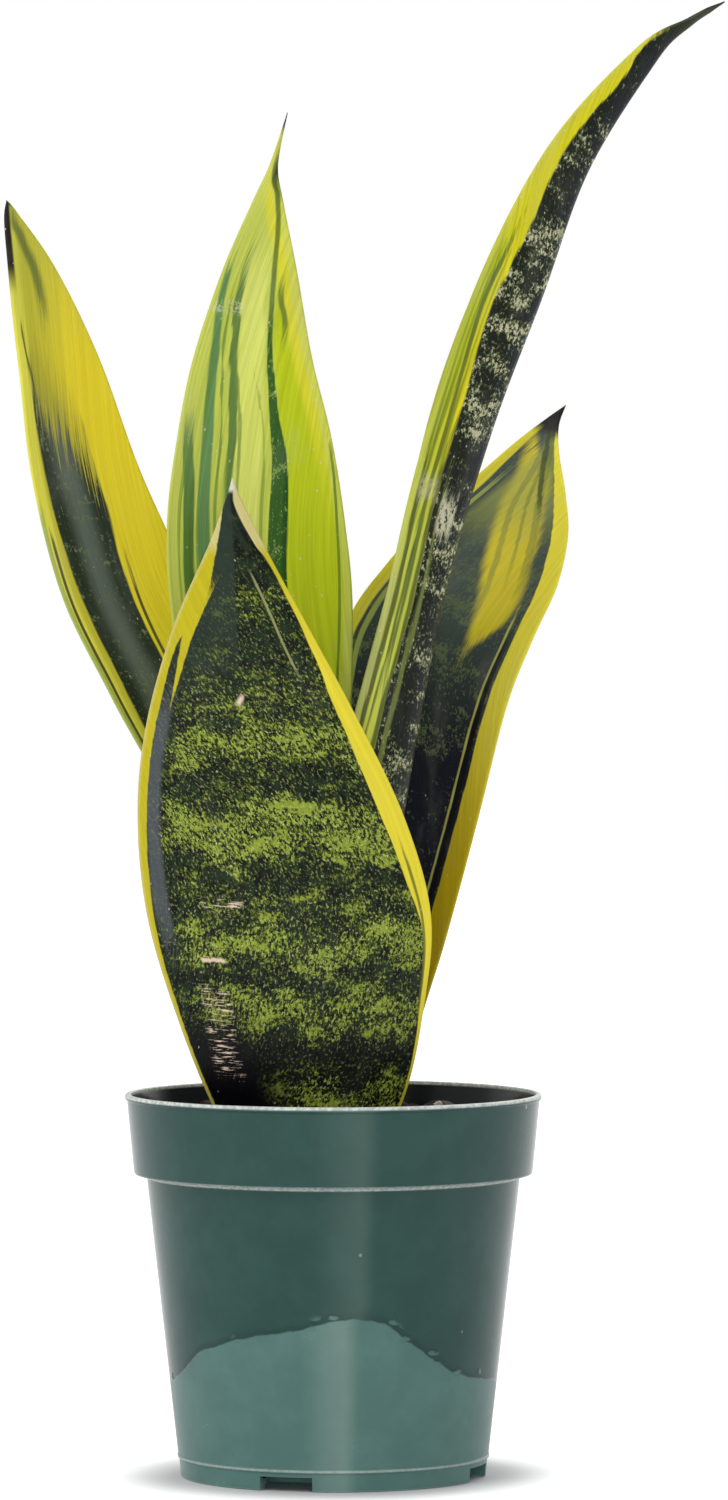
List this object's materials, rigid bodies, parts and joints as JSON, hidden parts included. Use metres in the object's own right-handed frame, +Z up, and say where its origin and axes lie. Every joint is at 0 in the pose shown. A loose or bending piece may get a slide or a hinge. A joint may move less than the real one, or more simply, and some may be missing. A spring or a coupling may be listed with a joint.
{
  "type": "potted snake plant",
  "caption": "Variegated snake plant with stiff upright sword-shaped leaves in a thin-walled tapered grower's pot filled with potting mix.",
  "frame": {"origin": "on the pot's axis, in the plane that the pot stands on, at the middle of the flat pad under its floor", "axes": "+Z up along the pot's axis; -Y is the front, where the broad dark leaf stands; +X is to the right seen from the front, the way the tallest leaf leans"},
  "size_m": [0.1867, 0.108, 0.3793],
  "materials": {
    "pot_plastic": "glossy injection-moulded polypropylene, dark green",
    "soil": "crumbly peat and bark mix with perlite specks",
    "rhizome": "matt, pale orange-brown, ringed by leaf scars",
    "leaf_dark": "waxy, dark green mottled with light green bands, yellow edges",
    "leaf_yellow": "waxy, golden yellow with a grey-green middle",
    "leaf_lime": "waxy, lime green with darker green stripes",
    "leaf_tall": "waxy, yellow-green edge, dark middle with cream mottling",
    "leaf_back": "waxy, near-black green with golden yellow edges"
  },
  "bodies": {
    "root": {"nursery_pot": "pot_plastic", "potting_soil": "soil", "rhizome": "rhizome", "leaf_front": "leaf_dark", "leaf_left": "leaf_yellow", "leaf_middle": "leaf_lime", "leaf_tall_right": "leaf_tall", "leaf_right_back": "leaf_back"}
  },
  "joints": []
}
